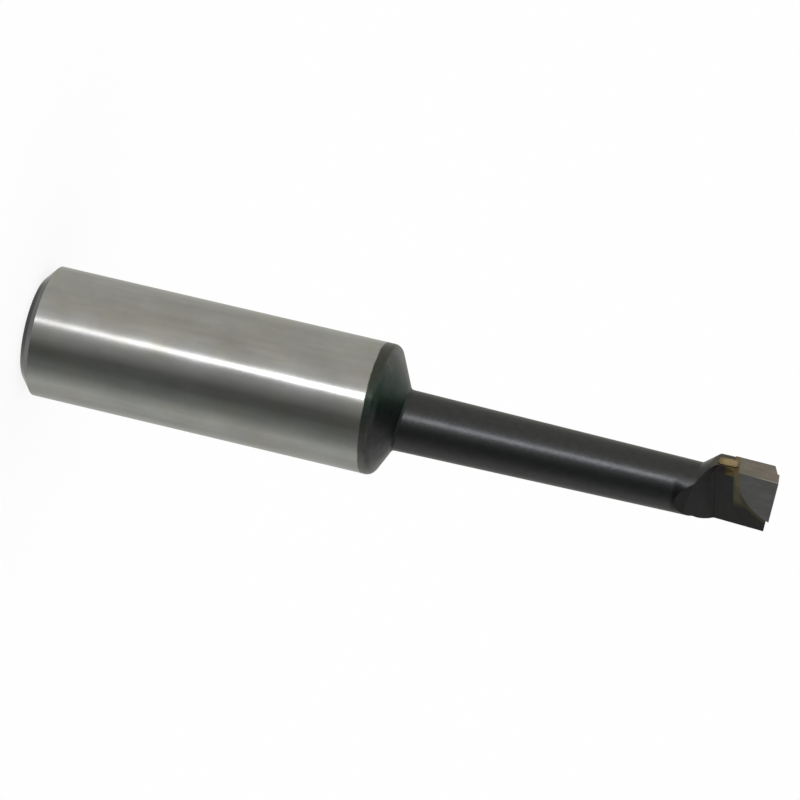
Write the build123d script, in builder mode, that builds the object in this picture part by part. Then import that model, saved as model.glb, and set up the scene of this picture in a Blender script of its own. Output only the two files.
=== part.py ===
"""Boring bar: ground shank, eccentric blackened neck and a half-round head with a brazed carbide tip.

The bar stands on its shank end.  Z runs along the shank axis, with Z = 0 on the back face.
The cutting edge looks along -X and the rake face along -Y.  Millimetres throughout.
"""
import os
from math import cos, radians, sin, tan

from build123d import *

# Shank
shank_diameter = 12.7
shank_length = 34.85  # back face to the corner where the cone starts
back_chamfer_length = 1.1  # along the axis
back_chamfer_depth = 1.3
rim_radius = 0.8  # rounding between shank and cone
cone_angle = 63.0  # from the axis
overall_length = 73.0  # back face to the nose of the tip

# Neck, turned on its own axis beside the shank axis
neck_offset = 0.8
neck_root_diameter = 6.1
neck_end_diameter = 5.24
root_fillet = 0.3

# Head, turned on the neck axis
head_diameter = 7.6
head_length = 6.1  # straight part, measured back from the nose
shoulder_length = 1.45
shoulder_fillet = 0.3

# Rake face and its run-out into the neck: a steep wall, then a flatter tail.  Both are skewed,
# so that they lie further back on the side of the cutting edge.
rake_length = 6.15  # flat part on the neck axis, measured back from the nose
axial_rake = 3.0
runout_angle = 50.0
runout_skew = 3.0
runout_radius = 0.6
tail_length = 9.1  # nose to the end of the tail on top of the neck
tail_angle = 31.0
tail_skew = 16.0

# Side relief: two ground faces that meet in a land, widest at the nose
edge_radius = 3.4  # neck axis to the cutting edge
side_relief = 7.0
side_clearance = 14.0
back_taper = 1.0
land_length = 10.0  # nose to the point where the land would run out

# Bevel on the steel between the rake face and the side face, behind the tip
heel_bevel_angle = 34.0  # from the rake face
heel_bevel_depth = 0.75  # down the side face

# Front relief: two ground faces again
end_angle = 5.2  # cutting edge end, from square to the axis
front_relief = 7.0
front_land = 1.25  # depth of the first face on the tip
front_step = 0.2  # from the end of the land back to the second face
front_clearance = 20.0
steel_setback = 0.27  # the steel stands back under the overhanging tip
nose_radius = 0.1

# Carbide tip and the braze around it
tip_width = 3.75  # nose to the back of the tip
tip_reach = 2.85  # past the neck axis, away from the cutting edge
tip_corner_radius = 5.4
tip_thickness = 2.3
seat_lean = 15.0  # the back wall leans back from square to the rake face
braze_floor = 0.12
braze_wall = 0.4

# Braze that ran out behind the tip: a wedge on the heel bevel and a bead on the side face
wedge_length = 1.5  # back of the tip to the thin end
wedge_height = 0.71  # at the back of the tip
bead_length = 2.0
bead_width = 1.1
bead_corner_radius = 0.3
bead_height = 0.12
bead_rounding = 0.08
bead_depth = 1.4  # rake face to the middle of the bead
bead_overlap = 0.1  # how far the bead reaches over the braze behind the tip

grinding_stock = 2.5  # how far the blanks stand past their ground faces

# Worked out from the sizes above
shank_radius = shank_diameter / 2
head_radius = head_diameter / 2
cone_top = shank_length + shank_radius / tan(radians(cone_angle))
shoulder_top = overall_length - head_length
shoulder_foot = shoulder_top - shoulder_length
blank_top = overall_length + grinding_stock
block_size = 4 * head_diameter
nose = Vector(neck_offset - edge_radius, 0, overall_length)
tip_back = tip_width + braze_wall  # nose to the back of the pocket


def facing(origin, normal, along):
    """Plane through origin that looks along normal, with local x as near as it can be to along."""
    z_dir = Vector(*normal).normalized()
    return Plane(origin=origin, x_dir=z_dir.cross(Vector(*along)).cross(z_dir), z_dir=z_dir)


# On the rake face, local x is the distance from the neck axis towards the cutting edge
# and local y is the distance back from the nose.
rake_tilt = radians(axial_rake)
rake_face = Plane(
    origin=(neck_offset, 0, overall_length),
    x_dir=(-1, 0, 0),
    z_dir=(0, -cos(rake_tilt), -sin(rake_tilt)),
)
# The tip and its pocket are oblique prisms: the depths are along the leaning walls.
lean = radians(seat_lean)
seat_direction = Vector(0, cos(lean - rake_tilt), -sin(lean - rake_tilt))
tip_depth = tip_thickness / cos(lean)
pocket_depth = (tip_thickness + braze_floor) / cos(lean)

# Ground faces, each looking out of the steel.  Local x runs towards the nose on the side faces
# and towards the cutting edge on the others.
side_slope = tan(radians(side_relief))
side_clearance_slope = tan(radians(side_clearance))
taper_slope = tan(radians(back_taper))
end_slope = tan(radians(end_angle))
front_slope = tan(radians(front_relief))
front_clearance_slope = tan(radians(front_clearance))
heel_bevel_slope = tan(radians(heel_bevel_angle))

land_start = nose - Vector(0, 0, land_length)
heel_line = nose + Vector(0, heel_bevel_depth, -tip_width)
front_break = nose + Vector(0, front_land, -front_land * front_slope - front_step)
steel_corner = nose - Vector(0, 0, steel_setback)

runout_slope = tan(radians(runout_angle))
runout_lean = -runout_slope * tan(radians(runout_skew))
rake_foot = rake_face.from_local_coords(Vector(0, rake_length, 0))
tail_slope = tan(radians(tail_angle))
tail_lean = -tail_slope * tan(radians(tail_skew))
tail_end = Vector(neck_offset, -neck_end_diameter / 2, overall_length - tail_length)

runout_face = facing(rake_foot, (runout_lean, -1, runout_slope), (-1, 0, 0))
tail_face = facing(tail_end, (tail_lean, -1, tail_slope), (-1, 0, 0))
side_relief_face = facing(land_start, (-1, side_slope, 0), (0, 0, 1))
side_clearance_face = facing(land_start, (-1, side_clearance_slope, -taper_slope), (0, 0, 1))
heel_bevel_face = facing(heel_line, (-heel_bevel_slope, -1, 0), (0, 0, 1))
front_relief_face = facing(nose, (end_slope, front_slope, 1), (-1, 0, 0))
front_clearance_face = facing(front_break, (end_slope, front_clearance_slope, 1), (-1, 0, 0))
front_ledge = Plane(origin=front_break, x_dir=rake_face.x_dir, z_dir=rake_face.z_dir)
steel_front_face = facing(steel_corner, (end_slope, front_slope, 1), (-1, 0, 0))


def grinding_block():
    """Block of waste that stands on a ground face."""
    Box(block_size, block_size, head_diameter, align=(Align.CENTER, Align.CENTER, Align.MIN))


def tip_outline(gap):
    """Outline of the tip on the rake face, let out by gap, open to the side and front faces."""
    with Locations((-tip_reach - gap, -grinding_stock)):
        Rectangle(
            tip_reach + gap + edge_radius + grinding_stock,
            tip_width + gap + grinding_stock,
            align=(Align.MIN, Align.MIN),
        )
    back_corner = vertices().sort_by_distance((-tip_reach - gap, tip_width + gap))[0]
    fillet(back_corner, tip_corner_radius + gap)


# What the grinding of the rake face takes off, with the round foot of its run-out
with BuildPart() as rake_waste:
    with Locations(rake_face):
        grinding_block()
    split(bisect_by=runout_face, keep=Keep.TOP)
    foot_edge = edges().sort_by_distance(rake_foot)[0]
    fillet(foot_edge, runout_radius)

# What the tail of the run-out takes off behind it
with BuildPart() as tail_waste:
    with Locations(tail_face):
        grinding_block()
    split(bisect_by=runout_face, keep=Keep.BOTTOM)

# What the side grinding takes off, shared by steel, braze and carbide
with BuildPart() as side_waste:
    with Locations(side_relief_face, side_clearance_face):
        grinding_block()

# What the heel bevel takes off the steel
with BuildPart() as heel_waste:
    with Locations(heel_bevel_face):
        Box(
            block_size,
            block_size,
            head_diameter,
            align=(Align.MAX, Align.CENTER, Align.MIN),
        )
    split(bisect_by=runout_face, keep=Keep.TOP)

# What the front grinding takes off the carbide, with the step under the land
with BuildPart() as front_waste:
    with Locations(front_clearance_face):
        grinding_block()
    split(bisect_by=front_ledge, keep=Keep.BOTTOM)
    with Locations(front_relief_face):
        grinding_block()

# What the front grinding takes off the steel and the braze
with BuildPart() as steel_front_waste:
    with Locations(steel_front_face, front_clearance_face):
        grinding_block()

# One-piece steel bar
with BuildPart() as bar:
    # Shank, chamfer, rim and cone
    with BuildSketch(Plane.XZ):
        with BuildLine():
            Polyline(
                (0, 0),
                (shank_radius - back_chamfer_depth, 0),
                (shank_radius, back_chamfer_length),
                (shank_radius, shank_length),
                (0, cone_top),
                close=True,
            )
        make_face()
        fillet(vertices().sort_by_distance((shank_radius, shank_length))[0], rim_radius)
    revolve(axis=Axis.Z)

    # Neck, shoulder and round head
    with BuildSketch(Plane(origin=(neck_offset, 0, 0), x_dir=(1, 0, 0), z_dir=(0, -1, 0))):
        with BuildLine():
            Polyline(
                (0, shank_length),
                (neck_root_diameter / 2, shank_length),
                (neck_end_diameter / 2, shoulder_foot),
                (head_radius, shoulder_top),
                (head_radius, blank_top),
                (0, blank_top),
                close=True,
            )
        make_face()
        shoulder_corners = vertices().filter_by_position(Axis.Y, shoulder_foot, shoulder_top)
        fillet(shoulder_corners, shoulder_fillet)
    revolve(axis=Axis((neck_offset, 0, 0), (0, 0, 1)))
    root_edges = edges().filter_by(
        lambda edge: shank_length + rim_radius < edge.center().Z < cone_top
    )
    fillet(root_edges, root_fillet)

    # Ground faces
    add(rake_waste.part, mode=Mode.SUBTRACT)
    add(tail_waste.part, mode=Mode.SUBTRACT)
    add(side_waste.part, mode=Mode.SUBTRACT)
    add(heel_waste.part, mode=Mode.SUBTRACT)
    add(steel_front_waste.part, mode=Mode.SUBTRACT)

    # Pocket for the tip
    with BuildSketch(rake_face):
        tip_outline(braze_wall)
    extrude(amount=pocket_depth, dir=seat_direction, mode=Mode.SUBTRACT)

# Carbide tip
with BuildPart() as carbide_tip:
    with BuildSketch(rake_face):
        tip_outline(0)
    extrude(amount=tip_depth, dir=seat_direction)
    add(side_waste.part, mode=Mode.SUBTRACT)
    add(front_waste.part, mode=Mode.SUBTRACT)
    nose_edge = edges().sort_by_distance(nose + Vector(0, front_land / 2, 0))[0]
    fillet(nose_edge, nose_radius)

# Braze under, behind and beside the tip, with the wedge and the bead behind it
with BuildPart() as braze_joint:
    with BuildSketch(rake_face):
        tip_outline(braze_wall)
    extrude(amount=pocket_depth, dir=seat_direction)
    wedge_profile = Plane(heel_line, x_dir=(0, 0, 1), z_dir=heel_bevel_face.y_dir)
    with BuildSketch(wedge_profile):
        with BuildLine():
            Polyline((-wedge_length, 0), (0, 0), (0, -wedge_height), close=True)
        make_face()
    extrude(amount=head_radius, both=True)
    add(rake_waste.part, mode=Mode.SUBTRACT)
    with BuildSketch(rake_face):
        tip_outline(0)
    extrude(amount=tip_depth, dir=seat_direction, mode=Mode.SUBTRACT)
    add(side_waste.part, mode=Mode.SUBTRACT)
    add(steel_front_waste.part, mode=Mode.SUBTRACT)
    bead_middle = land_length - tip_back + bead_overlap - bead_length / 2
    with BuildSketch(side_clearance_face):
        with Locations((bead_middle, bead_depth)):
            RectangleRounded(bead_length, bead_width, bead_corner_radius)
    extrude(amount=bead_height)
    bead_top = faces().sort_by(
        lambda face: side_clearance_face.to_local_coords(face.center()).Z
    )[-1]
    fillet(bead_top.edges(), bead_rounding)

bar.part.label = "bar"
carbide_tip.part.label = "carbide_tip"
braze_joint.part.label = "braze_joint"

os.makedirs("parts", exist_ok=True)
export_step(bar.part, "parts/bar.step")
export_step(carbide_tip.part, "parts/carbide_tip.step")
export_step(braze_joint.part, "parts/braze_joint.step")
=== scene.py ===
import math

import bpy
import numpy as np
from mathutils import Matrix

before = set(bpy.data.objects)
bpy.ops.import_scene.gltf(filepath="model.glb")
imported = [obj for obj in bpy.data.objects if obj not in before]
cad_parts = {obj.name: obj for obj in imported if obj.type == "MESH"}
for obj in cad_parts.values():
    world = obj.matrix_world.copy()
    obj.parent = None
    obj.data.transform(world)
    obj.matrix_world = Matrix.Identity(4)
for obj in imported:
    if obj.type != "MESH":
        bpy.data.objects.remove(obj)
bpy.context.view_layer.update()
print("frame loaded:", sorted(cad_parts))


# Small helpers for node trees. A value may be a number, a colour or the output of another node.
def feed(tree, socket, value):
    if isinstance(value, bpy.types.NodeSocket):
        tree.links.new(value, socket)
    elif socket.type == "RGBA":
        socket.default_value = (*value, 1.0)
    else:
        socket.default_value = value


def addNode(tree, kind, values=None, **settings):
    node = tree.nodes.new(kind)
    for name, value in settings.items():
        setattr(node, name, value)
    for socket, value in (values or {}).items():
        feed(tree, node.inputs[socket], value)
    return node


def emptyTree(holder):
    holder.use_nodes = True
    holder.node_tree.nodes.clear()
    return holder.node_tree


def calc(tree, operation, first, second=0.0, third=0.0):
    values = {0: first, 1: second, 2: third}
    return addNode(tree, "ShaderNodeMath", values, operation=operation).outputs[0]


def product(tree, *shares):
    whole = shares[0]
    for share in shares[1:]:
        whole = calc(tree, "MULTIPLY", whole, share)
    return whole


def between(tree, share, low, high):
    return calc(tree, "MULTIPLY_ADD", share, high - low, low)


def step(tree, value, limits):
    # Smooth rise from 0 at the first limit to 1 at the second, or a fall where the second is lower.
    values = {"Value": value, "From Min": limits[0], "From Max": limits[1]}
    node = addNode(tree, "ShaderNodeMapRange", values, interpolation_type="SMOOTHSTEP")
    return node.outputs["Result"]


def ramp(tree, value, stops, low, high):
    # The stops' places run from low to high, and the value from 0 to 1. A stop is a colour or a grey.
    node = addNode(tree, "ShaderNodeValToRGB", {"Fac": value})
    elements = node.color_ramp.elements
    while len(elements) < len(stops):
        elements.new(0.5)
    for element, (place, colour) in zip(elements, stops):
        element.position = (place - low) / (high - low)
        element.color = (*colour, 1.0) if isinstance(colour, tuple) else (colour, colour, colour, 1.0)
    return node.outputs["Color"]


def blendColour(tree, share, first, second, mode="MIX"):
    node = addNode(tree, "ShaderNodeMix", data_type="RGBA", blend_type=mode)
    for socket, value in zip((node.inputs[0], node.inputs[6], node.inputs[7]), (share, first, second)):
        feed(tree, socket, value)
    return node.outputs[2]


def tinted(tree, colour, tone):
    return blendColour(tree, 1.0, colour, tone, "MULTIPLY")


def blendValue(tree, share, first, second):
    node = addNode(tree, "ShaderNodeMix", {0: share, 2: first, 3: second}, data_type="FLOAT")
    return node.outputs[0]


def bumped(tree, height, strength, distance):
    values = {"Height": height, "Strength": strength, "Distance": distance}
    return addNode(tree, "ShaderNodeBump", values).outputs[0]


def objectPlace(tree):
    return addNode(tree, "ShaderNodeTexCoord").outputs["Object"]


def millimetres(tree, stretch=(1.0, 1.0, 1.0)):
    scale = [1000.0 * share for share in stretch]  # objects are in metres
    return addNode(tree, "ShaderNodeMapping", {"Vector": objectPlace(tree), "Scale": scale}).outputs[0]


def noise(tree, pattern):
    # A pattern is its cells per millimetre, detail, roughness and, at will, scales of X, Y and Z.
    scale, detail, roughness, *stretch = pattern
    values = {"Scale": scale, "Detail": detail, "Roughness": roughness, "Vector": millimetres(tree, *stretch)}
    return addNode(tree, "ShaderNodeTexNoise", values).outputs["Fac"]


def parts(tree, vector):
    return addNode(tree, "ShaderNodeSeparateXYZ", {0: vector}).outputs


def facingParts(tree):
    return parts(tree, addNode(tree, "ShaderNodeNewGeometry").outputs["Normal"])


# Camera, with its rotation in degrees
view = {
    "lens": 222.30,
    "sensor": 36.0,
    "nearest": 0.01,
    "furthest": 20.0,
    "location": (-0.348687, -0.301446, 0.118214),
    "rotation": (-52.028, -73.4173, 94.2021),
}
cameraData = bpy.data.cameras.new("camera")
cameraData.lens = view["lens"]
cameraData.sensor_width = view["sensor"]
cameraData.clip_start = view["nearest"]
cameraData.clip_end = view["furthest"]
camera = bpy.data.objects.new("camera", cameraData)
camera.location = view["location"]
camera.rotation_euler = [math.radians(angle) for angle in view["rotation"]]
bpy.context.scene.collection.objects.link(camera)
bpy.context.scene.camera = camera
bpy.context.scene.view_settings.view_transform = "Standard"

# World: plain white behind everything
studio = {"colour": (1.0, 1.0, 1.0), "strength": 1.0}
world = bpy.data.worlds.new("studio")
bpy.context.scene.world = world
sky = emptyTree(world)
white = addNode(sky, "ShaderNodeBackground", {"Color": studio["colour"], "Strength": studio["strength"]})
addNode(sky, "ShaderNodeOutputWorld", {"Surface": white.outputs[0]})


def stageMesh(name, points, faces):
    mesh = bpy.data.meshes.new(name)
    mesh.from_pydata(points, [], faces)
    piece = bpy.data.objects.new(name, mesh)
    bpy.context.scene.collection.objects.link(piece)
    return piece


# Reflection tent: a closed drum of grey card, seen only in polished surfaces. Places on its wall are
# degrees round the bar from the camera's side, anticlockwise as seen from the head. Places on its
# top and bottom run from -1 to 1 across the camera's view. Levels are what the card gives out.
tent = {
    "radius": 0.8,
    "half": 0.95,
    "front": 221.0,
    "sides": 96,
    "wall": [
        (-180, 0.55),
        (-130, 0.55),
        (-100, 0.68),
        (-70, 0.30),
        (-44, 0.14),
        (-28, 0.14),
        (0, 0.47),
        (26, 0.76),
        (60, 0.62),
        (90, 0.66),
        (120, 0.62),
        (180, 0.55),
    ],
    "tint": [
        (-180, (1.0, 1.0, 0.96)),
        (-40, (0.95, 1.0, 0.94)),
        (10, (1.0, 1.0, 1.0)),
        (60, (1.0, 0.99, 0.90)),
        (180, (1.0, 1.0, 0.93)),
    ],
    "top": [(-1.0, 0.30), (-0.3, 0.32), (0.0, 0.45), (0.4, 0.62), (1.0, 0.75)],
    "bottom": [(-1.0, 0.36), (-0.3, 0.34), (-0.1, 0.28), (1.0, 0.28)],
    "topEdge": (0.10, 0.40),
    "bottomEdge": (-0.40, -0.60),
}


# Drum: a point at each even turn of a circle, low and high, a four-sided face from each to the next,
# and one face for each end.
def tentMesh():
    sides = tent["sides"]
    turn = np.linspace(0, 2 * np.pi, sides, endpoint=False)
    ring = np.stack([np.cos(turn), np.sin(turn)], 1) * tent["radius"]
    rings = [np.insert(ring, 2, height, axis=1) for height in (-tent["half"], tent["half"])]
    side = np.arange(sides)
    after = (side + 1) % sides
    walls = np.stack([side, after, after + sides, side + sides], 1)
    ends = np.stack([side, side + sides])
    return stageMesh("reflectionCards", np.concatenate(rings).tolist(), walls.tolist() + ends.tolist())


def cardMaterial():
    material = bpy.data.materials.new("cardGrey")
    tree = emptyTree(material)
    spot = parts(tree, objectPlace(tree))
    front = math.radians(tent["front"])
    ahead = calc(tree, "MULTIPLY", spot["Y"], math.sin(front))
    ahead = calc(tree, "MULTIPLY_ADD", spot["X"], math.cos(front), ahead)
    across = calc(tree, "MULTIPLY", spot["Y"], -math.cos(front))
    across = calc(tree, "MULTIPLY_ADD", spot["X"], math.sin(front), across)
    bearing = calc(tree, "MULTIPLY_ADD", calc(tree, "ARCTAN2", across, ahead), 0.5 / math.pi, 0.5)
    reach = calc(tree, "MULTIPLY_ADD", across, 0.5 / tent["radius"], 0.5)
    levels = ramp(tree, bearing, tent["wall"], -180, 180)
    levels = tinted(tree, levels, ramp(tree, bearing, tent["tint"], -180, 180))
    top = ramp(tree, reach, tent["top"], -1, 1)
    levels = blendColour(tree, step(tree, spot["Z"], tent["topEdge"]), levels, top)
    bottom = ramp(tree, reach, tent["bottom"], -1, 1)
    levels = blendColour(tree, step(tree, spot["Z"], tent["bottomEdge"]), levels, bottom)
    glow = addNode(tree, "ShaderNodeEmission", {"Color": levels, "Strength": 1.0})
    addNode(tree, "ShaderNodeOutputMaterial", {"Surface": glow.outputs[0]})
    return material


cards = tentMesh()
cards.data.materials.append(cardMaterial())
cards.visible_camera = False
cards.visible_diffuse = False
cards.visible_shadow = False
cards.visible_transmission = False

# Strip lights: the sharp line along the whole bar, and a short one that only the neck reflects.
# Bearings are degrees from the tent's front.
strips = {
    "longStrip": {
        "bearing": 15,
        "distance": 0.65,
        "height": -0.09,
        "width": 0.085,
        "length": 1.1,
        "radiance": 1.5,
        "colour": (1.0, 1.0, 1.0),
    },
    "neckStrip": {
        "bearing": 14,
        "distance": 0.5,
        "height": -0.005,
        "width": 0.05,
        "length": 0.09,
        "radiance": 25,
        "colour": (0.93, 0.96, 1.0),
    },
}


def stripLight(name, strip):
    light = bpy.data.lights.new(name, "AREA")
    light.shape = "RECTANGLE"
    light.color = strip["colour"]
    light.size = strip["width"]
    light.size_y = strip["length"]
    light.energy = strip["radiance"] * math.pi * strip["width"] * strip["length"]  # watts
    lamp = bpy.data.objects.new(name, light)
    toward = math.radians(tent["front"] - strip["bearing"])
    ahead = strip["distance"] * math.cos(toward)
    lamp.location = (ahead, strip["distance"] * math.sin(toward), strip["height"])
    lamp.rotation_euler = (math.radians(90), 0, toward + math.radians(90))
    lamp.visible_camera = False
    bpy.context.scene.collection.objects.link(lamp)


for name, strip in strips.items():
    stripLight(name, strip)

# Floor under the back face
floorPlan = {"reach": 3.0, "colour": (0.95, 0.95, 0.95), "glow": 0.86}


def floorMaterial():
    material = bpy.data.materials.new("paleFloor")
    tree = emptyTree(material)
    rays = addNode(tree, "ShaderNodeLightPath").outputs
    matt = addNode(tree, "ShaderNodeBsdfDiffuse", {"Color": floorPlan["colour"]})
    pale = addNode(tree, "ShaderNodeEmission", {"Color": (1.0, 1.0, 1.0), "Strength": 1.0})
    share = calc(tree, "MULTIPLY", rays["Is Camera Ray"], floorPlan["glow"])
    paper = addNode(tree, "ShaderNodeMixShader", {0: share, 1: matt.outputs[0], 2: pale.outputs[0]})
    addNode(tree, "ShaderNodeOutputMaterial", {"Surface": paper.outputs[0]})
    return material


corners = [(-1, -1), (1, -1), (1, 1), (-1, 1)]
floorPoints = [(floorPlan["reach"] * x, floorPlan["reach"] * y, 0) for x, y in corners]
floor = stageMesh("floor", floorPoints, [(0, 1, 2, 3)])
floor.visible_glossy = False
floor.visible_shadow = False
floor.data.materials.append(floorMaterial())
print("stage, lights and camera made")


def newMetal(name):
    material = bpy.data.materials.new(name)
    tree = emptyTree(material)
    surface = addNode(tree, "ShaderNodeBsdfPrincipled", {"Metallic": 1.0})
    addNode(tree, "ShaderNodeOutputMaterial", {"Surface": surface.outputs[0]})
    return material, tree, surface


def wire(tree, surface, values):
    for socket, value in values.items():
        feed(tree, surface.inputs[socket], value)


def dress(node, material):
    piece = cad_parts[node]
    piece.data.materials.clear()
    piece.data.materials.append(material)


# Bar: ground shank, black oxide from the rim forward
bar = {
    # What the bare metal and each patch reflect head on, so the oxide is a very dark metal
    "colours": {
        "steel": (0.40, 0.398, 0.392),
        "warm": (1.0, 0.975, 0.90),
        # scale: painted dark reflection on the outer half of the end chamfer
        "scale": (0.17, 0.17, 0.165),
        "oxide": (0.064, 0.064, 0.066),
        # root: painted shade where the cone runs into the neck
        "root": (0.046, 0.054, 0.050),
        # rake and gullet: painted shade on the faces looking along -Y ahead of the head, darker than the
        # oxide
        "rake": (0.030, 0.030, 0.030),
        "gulletShade": (0.058, 0.058, 0.057),
        # ramp: painted highlight on the shoulder ramp ahead of the head, lighter than the oxide
        "ramp": (0.128, 0.128, 0.126),
        "relief": (0.098, 0.091, 0.078),
        "bevel": (0.078, 0.060, 0.060),
        "olive": (0.085, 0.078, 0.050),
    },
    # Height in millimetres where the oxide starts, lower by the lean for each millimetre up the side
    "oxide": {"start": 33.82, "lean": 0.027, "edge": 0.08, "wander": 0.08},
    "warmShare": 0.8,
    "warmClouds": (0.45, 0.70),
    "steelRoughness": (0.15, 0.23),
    "oxideRoughness": (0.30, 0.42),
    "steelBump": 0.05,
    "oxideBump": 0.20,
    "bumpDepth": 0.00006,
    "anisotropy": 0.2,
    "patterns": {
        "streaks": (5.0, 3.0, 0.6, (0.12, 0.12, 1.0)),
        "clouds": (0.36, 3.0, 0.5, (1.0, 1.0, 0.6)),
        "smears": (1.3, 3.0, 0.6, (1.0, 1.0, 0.10)),
        "warm": (0.28, 2.0, 0.5),
        "wander": (0.9, 2.0, 0.5),
        "drift": (0.5, 4.0, 0.6),
        "mottle": (1.6, 4.0, 0.6),
        "grain": (20.0, 2.0, 0.5, (0.05, 0.05, 1.0)),
        "pebbles": (2.6, 3.0, 0.6),
    },
    # Darkest and lightest share that a pattern gives its colour
    "tones": {
        "streaks": (0.96, 1.04),
        "clouds": (0.80, 1.20),
        "smears": (0.88, 1.12),
        "mottle": (0.75, 1.25),
    },
    # Where a patch starts and where it is whole, in millimetres: heights over the back face, and
    # then places up the side, out from the tip's arc and along X
    "places": {
        # scale: heights where the painted dark reflection on the chamfer starts and is whole
        "scale": (0.65, 0.40),
        "root": (35.3, 35.6),
        "rim": (36.0, 35.6),
        "neck": (39.2, 38.4),
        "head": (63.3, 63.7),
        "bevel": (65.3, 65.6),
        "relief": (65.9, 66.3),
        "olive": (68.72, 68.88),
        "paintedReflectionSide": (-4.0, -1.5),
        "oliveArc": (7.0, 6.6),
        "oliveWidth": (2.4, 1.0),
    },
    "oliveLean": -0.08,
    # How far a face looks along an axis before it takes a patch, and where the patch is whole
    "faces": {
        "cone": (0.25, 0.60),
        "rootOut": (0.10, 0.30),
        "rootFlat": (0.85, 0.70),
        "rake": (-0.45, -0.60),
        "gulletShade": (0.25, 0.43),
        "ramp": (-0.05, -0.60),
        "relief": (-0.85, -0.93),
        "bevel": (-0.30, -0.45),
        "olive": (-0.90, -0.97),
    },
}

# Painted light and shade on the cone and on the blackened edge of the shank, by how far up the side in
# millimetres: lighter towards both ends, darker with a green tint between, and on the rim band darkest
# where the strip's highlight falls. Up is the bearing in degrees, and the drift blurs it by so many mm.
paintedLightAndShade = {
    "bearing": 131,
    "reach": 6.0,
    "coneDrift": 2.0,
    "rimDrift": 0.3,
    "cone": [
        (-5.5, (0.190, 0.190, 0.186)),
        (-2.5, (0.090, 0.090, 0.088)),
        (-1.0, (0.058, 0.066, 0.062)),
        (0.7, (0.027, 0.051, 0.039)),
        (2.6, (0.052, 0.069, 0.055)),
        (4.2, (0.080, 0.088, 0.076)),
        (5.5, (0.130, 0.130, 0.122)),
    ],
    "rim": [
        (-5.5, (0.150, 0.150, 0.140)),
        (-4.2, (0.112, 0.111, 0.109)),
        (-2.7, (0.152, 0.149, 0.141)),
        (-1.1, (0.052, 0.067, 0.059)),
        (0.5, (0.013, 0.018, 0.014)),
        (2.2, (0.055, 0.069, 0.055)),
        (5.5, (0.075, 0.078, 0.068)),
    ],
}


def upwards(tree, spot):
    bearing = math.radians(paintedLightAndShade["bearing"])
    across = calc(tree, "MULTIPLY", spot["Y"], math.sin(bearing))
    return calc(tree, "MULTIPLY_ADD", spot["X"], math.cos(bearing), across)


def paintedByBearing(tree, spot, stops, drift):
    blur = between(tree, noise(tree, bar["patterns"]["drift"]), -drift, drift)
    upward = calc(tree, "ADD", upwards(tree, spot), blur)
    share = calc(tree, "MULTIPLY_ADD", upward, 0.5 / paintedLightAndShade["reach"], 0.5)
    return ramp(tree, share, stops, -paintedLightAndShade["reach"], paintedLightAndShade["reach"])


# Centre of the curved back edge of the tip, in the rake plane, in millimetres
tipArc = {"x": -1.75, "z": 74.65}


def arcDistance(tree, spot):
    sideways = calc(tree, "SUBTRACT", spot["X"], tipArc["x"])
    along = calc(tree, "SUBTRACT", spot["Z"], tipArc["z"])
    square = calc(tree, "MULTIPLY_ADD", sideways, sideways, product(tree, along, along))
    return calc(tree, "SQRT", square)


def grindDirection(tree):
    # The long way of the highlight: along the axis on round faces, radial on end faces.
    endShare = calc(tree, "ABSOLUTE", facingParts(tree)["Z"])
    flatten = {0: objectPlace(tree), 1: (1, 1, 0)}
    flat = addNode(tree, "ShaderNodeVectorMath", flatten, operation="MULTIPLY").outputs[0]
    radial = addNode(tree, "ShaderNodeVectorMath", {0: flat}, operation="NORMALIZE").outputs[0]
    along = addNode(tree, "ShaderNodeMix", {0: endShare, 4: (0, 0, 1), 5: radial}, data_type="VECTOR")
    return along.outputs[1]


def toned(tree, name):
    return between(tree, noise(tree, bar["patterns"][name]), *bar["tones"][name])


def reached(tree, value, name):
    return step(tree, value, bar["places"][name])


def groundSteel(tree, spot):
    steel = bar["colours"]["steel"]
    tones = product(tree, toned(tree, "streaks"), toned(tree, "clouds"), toned(tree, "smears"))
    steel = tinted(tree, steel, tones)
    warmth = step(tree, noise(tree, bar["patterns"]["warm"]), bar["warmClouds"])
    warmth = calc(tree, "MULTIPLY", warmth, bar["warmShare"])
    steel = blendColour(tree, warmth, steel, tinted(tree, steel, bar["colours"]["warm"]))
    # Painted dark reflection on the outer half of the end chamfer, left off the low part of its side.
    toPaintedReflection = reached(tree, spot["Z"], "scale")
    toPaintedReflection = product(tree, toPaintedReflection, reached(tree, upwards(tree, spot), "paintedReflectionSide"))
    return blendColour(tree, toPaintedReflection, steel, bar["colours"]["scale"])


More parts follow.
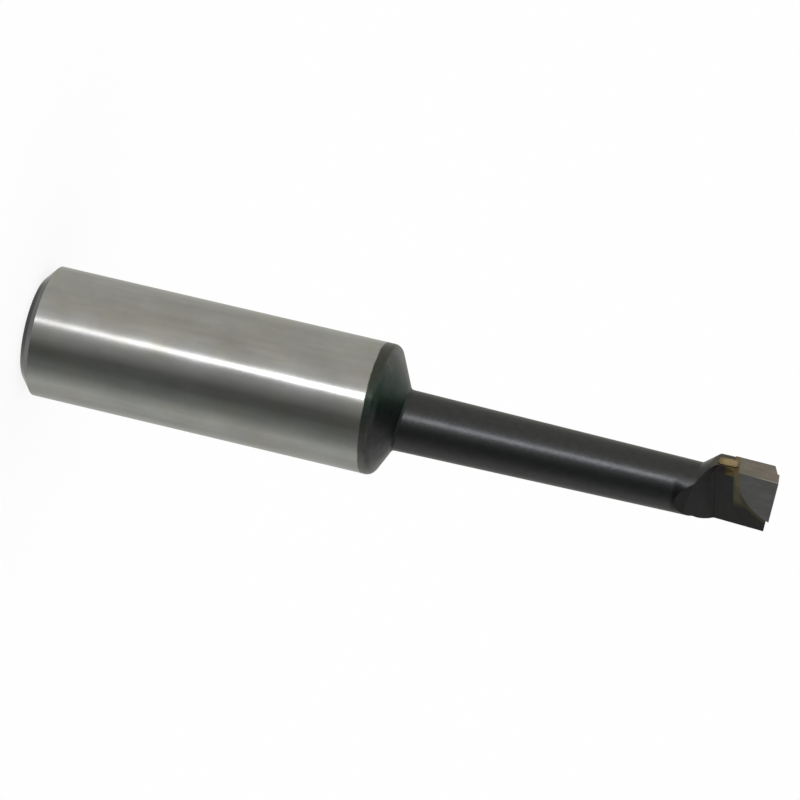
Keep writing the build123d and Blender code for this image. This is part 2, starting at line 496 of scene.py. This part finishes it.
def blackOxide(tree, spot):
    facing = facingParts(tree)

    def looking(name, axis):
        return step(tree, facing[axis], bar["faces"][name])

    # Patches of the blackened end, each found by its height and by the way its face looks.
    beforeNeck = reached(tree, spot["Z"], "neck")
    # Painted shade at the root of the neck, on the faces where the cone runs into it.
    toRootShade = product(tree, looking("rootOut", "Z"), looking("rootFlat", "Z"), beforeNeck)
    forward = reached(tree, spot["Z"], "head")
    toRake = product(tree, looking("rake", "Y"), forward)
    olivePlace = calc(tree, "MULTIPLY_ADD", spot["X"], bar["oliveLean"], spot["Z"])
    toOlive = product(tree, looking("olive", "Y"), reached(tree, olivePlace, "olive"))
    nearTip = reached(tree, arcDistance(tree, spot), "oliveArc")
    patches = {
        "root": product(tree, toRootShade, reached(tree, spot["Z"], "root")),
        # rake and gullet: painted shade on the faces looking along -Y
        "rake": toRake,
        "gulletShade": product(tree, toRake, looking("gulletShade", "Z")),
        # ramp: painted highlight on the faces looking back towards the shank
        "ramp": product(tree, looking("ramp", "Z"), forward),
        "relief": product(tree, looking("relief", "X"), reached(tree, spot["Z"], "relief")),
        "bevel": product(tree, looking("bevel", "X"), toRake, reached(tree, spot["Z"], "bevel")),
        "olive": product(tree, toOlive, nearTip, reached(tree, spot["X"], "oliveWidth")),
    }
    # Painted light and shade by bearing on the rim band and on the cone, laid over the oxide.
    rimPaintedShading = paintedByBearing(tree, spot, paintedLightAndShade["rim"], paintedLightAndShade["rimDrift"])
    oxide = blendColour(tree, reached(tree, spot["Z"], "rim"), bar["colours"]["oxide"], rimPaintedShading)
    toCone = product(tree, looking("cone", "Z"), beforeNeck)
    oxide = blendColour(tree, toCone, oxide, paintedByBearing(tree, spot, paintedLightAndShade["cone"], paintedLightAndShade["coneDrift"]))
    for name, share in patches.items():
        oxide = blendColour(tree, share, oxide, bar["colours"][name])
    return tinted(tree, oxide, toned(tree, "mottle"))


def oxideShare(tree, spot):
    oxide = bar["oxide"]
    wander = between(tree, noise(tree, bar["patterns"]["wander"]), -oxide["wander"], oxide["wander"])
    height = calc(tree, "ADD", spot["Z"], wander)
    height = calc(tree, "MULTIPLY_ADD", upwards(tree, spot), oxide["lean"], height)
    return step(tree, height, (oxide["start"] - oxide["edge"], oxide["start"] + oxide["edge"]))


def barMaterial():
    material, tree, surface = newMetal("groundSteelAndOxide")
    spot = parts(tree, millimetres(tree))
    share = oxideShare(tree, spot)
    clouds = noise(tree, bar["patterns"]["clouds"])
    roughSteel = between(tree, clouds, *bar["steelRoughness"])
    roughOxide = between(tree, clouds, *bar["oxideRoughness"])
    grain = noise(tree, bar["patterns"]["grain"])
    relief = blendValue(tree, share, grain, noise(tree, bar["patterns"]["pebbles"]))
    strength = blendValue(tree, share, bar["steelBump"], bar["oxideBump"])
    values = {
        "Base Color": blendColour(tree, share, groundSteel(tree, spot), blackOxide(tree, spot)),
        "Roughness": blendValue(tree, share, roughSteel, roughOxide),
        "Anisotropic": bar["anisotropy"],
        "Tangent": grindDirection(tree),
        "Normal": bumped(tree, relief, strength, bar["bumpDepth"]),
    }
    wire(tree, surface, values)
    return material


# Tip: the side relief looks along -X and the rake face along -Y. The rake face leans, and its Y is
# rakeFoot less rakeSlope times the height, in millimetres.
tip = {
    # rake, side and front: painted shade and light on one carbide, darker on the rake face and lighter on the
    # side relief
    "rake": (0.120, 0.120, 0.120),
    "side": (0.215, 0.196, 0.168),
    "front": (0.155, 0.152, 0.146),
    # edge: painted highlight along the cutting edge
    "edge": (0.40, 0.38, 0.36),
    "streak": (1.22, 1.10, 1.18),
    "sideFace": (-0.5, -0.8),  # how far a face looks along X before it takes the colour, and is whole
    "rakeFace": (-0.6, -0.85),
    "rakeSlope": 0.0524,
    "rakeFoot": 3.827,
    "glintBand": (0.16, 0.04),  # millimetres above the rake face
    "glintStart": (70.4, 71.6),
    "streakShare": (0.42, 0.66),
    "grainTone": 0.16,
    "patchTone": (0.77, 1.07),
    "roughness": (0.33, 0.43),
    "bump": 0.08,
    "bumpDepth": 0.00003,
    "patterns": {
        "grain": (6.0, 4.0, 0.6),
        "patches": (0.9, 2.0, 0.5),
        "lines": (10.0, 3.0, 0.5, (1.0, 0.1, 0.1)),
        "streaks": (1.1, 3.0, 0.6, (1.0, 1.4, 0.5)),
    },
}


def carbideMaterial():
    material, tree, surface = newMetal("groundCarbide")
    spot = parts(tree, millimetres(tree))
    facing = facingParts(tree)
    grain = noise(tree, tip["patterns"]["grain"])
    # Painted light and shade: the colour changes with the way a face looks, lighter on the side relief and
    # darker on the rake face.
    onSide = step(tree, facing["X"], tip["sideFace"])
    colour = blendColour(tree, onSide, tip["front"], tip["side"])
    colour = blendColour(tree, step(tree, facing["Y"], tip["rakeFace"]), colour, tip["rake"])
    streaks = step(tree, noise(tree, tip["patterns"]["streaks"]), tip["streakShare"])
    colour = blendColour(tree, streaks, colour, tinted(tree, colour, tip["streak"]))
    # Painted highlight: a thin bright line along the cutting edge, measured up from the leaning rake face.
    aboveRake = calc(tree, "SUBTRACT", spot["Y"], tip["rakeFoot"])
    aboveRake = calc(tree, "MULTIPLY_ADD", spot["Z"], tip["rakeSlope"], aboveRake)
    toEdgeGlint = step(tree, aboveRake, tip["glintBand"])
    toEdgeGlint = product(tree, toEdgeGlint, onSide, step(tree, spot["Z"], tip["glintStart"]))
    colour = blendColour(tree, toEdgeGlint, colour, tip["edge"])
    tone = between(tree, noise(tree, tip["patterns"]["patches"]), *tip["patchTone"])
    tone = calc(tree, "MULTIPLY_ADD", grain, tip["grainTone"], tone)
    values = {
        "Base Color": tinted(tree, colour, tone),
        "Roughness": between(tree, grain, *tip["roughness"]),
        "Normal": bumped(tree, noise(tree, tip["patterns"]["lines"]), tip["bump"], tip["bumpDepth"]),
    }
    wire(tree, surface, values)
    return material


# Braze: bright where it ran out behind the tip, dull brown in the joint and under the wedge. Places
# are in millimetres, and the bead is at its brightest round its centre, which is given as Y and Z.
braze = {
    "ring": (0.150, 0.122, 0.075),
    "dull": (0.070, 0.062, 0.045),
    "bead": (0.375, 0.285, 0.150),
    "brown": (0.215, 0.160, 0.105),
    "wedge": (0.120, 0.088, 0.038),
    "floor": (0.160, 0.145, 0.120),
    "beadCentre": (1.40, 68.10),
    "beadSquash": 2.4,
    "beadSpread": (0.4, 1.2),
    "beadTone": (1.1, 0.6),
    "grainTone": (0.75, 1.25),
    "grain": (2.2, 4.0, 0.6),
    "roughness": 0.42,
    "bump": 0.12,
    "bumpDepth": 0.00005,
    "places": {
        "dull": (-1.2, 1.2),
        "behindTip": (68.80, 68.70),
        "bead": (0.75, 0.85),
        "wedgeEnd": (69.10, 69.00),
        "wedgeTop": (0.95, 0.80),
        "underBead": (0.75, 0.65),
        "floor": (69.2, 69.4),
    },
    "sideFace": (-0.75, -0.85),  # how far a face looks along X
    "wedgeFace": (-0.97, -0.93),
}


def brazeMaterial():
    material, tree, surface = newMetal("brazingBrass")
    spot = parts(tree, millimetres(tree))
    facing = facingParts(tree)

    def past(name, axis):
        return step(tree, spot[axis], braze["places"][name])

    onSide = step(tree, facing["X"], braze["sideFace"])
    behind = past("behindTip", "Z")
    toWedge = product(tree, past("wedgeEnd", "Z"), past("wedgeTop", "Y"))
    toWedge = product(tree, toWedge, step(tree, facing["Y"], braze["wedgeFace"]))
    toWedge = calc(tree, "MAXIMUM", toWedge, product(tree, behind, past("underBead", "Y")))
    up = calc(tree, "SUBTRACT", spot["Y"], braze["beadCentre"][0])
    along = calc(tree, "SUBTRACT", spot["Z"], braze["beadCentre"][1])
    squashed = calc(tree, "MULTIPLY", up, braze["beadSquash"])
    spread = calc(tree, "MULTIPLY_ADD", up, squashed, product(tree, along, along))
    spread = step(tree, calc(tree, "SQRT", spread), braze["beadSpread"])
    bead = tinted(tree, braze["bead"], between(tree, spread, *braze["beadTone"]))
    colour = blendColour(tree, past("dull", "X"), braze["ring"], braze["dull"])
    colour = blendColour(tree, onSide, colour, braze["brown"])
    colour = blendColour(tree, product(tree, onSide, past("floor", "Z")), colour, braze["floor"])
    colour = blendColour(tree, product(tree, behind, past("bead", "Y")), colour, bead)
    colour = blendColour(tree, toWedge, colour, braze["wedge"])
    grain = noise(tree, braze["grain"])
    values = {
        "Base Color": tinted(tree, colour, between(tree, grain, *braze["grainTone"])),
        "Roughness": braze["roughness"],
        "Normal": bumped(tree, grain, braze["bump"], braze["bumpDepth"]),
    }
    wire(tree, surface, values)
    return material


dress("bar", barMaterial())
dress("carbide_tip", carbideMaterial())
dress("braze_joint", brazeMaterial())
print("finishes made")
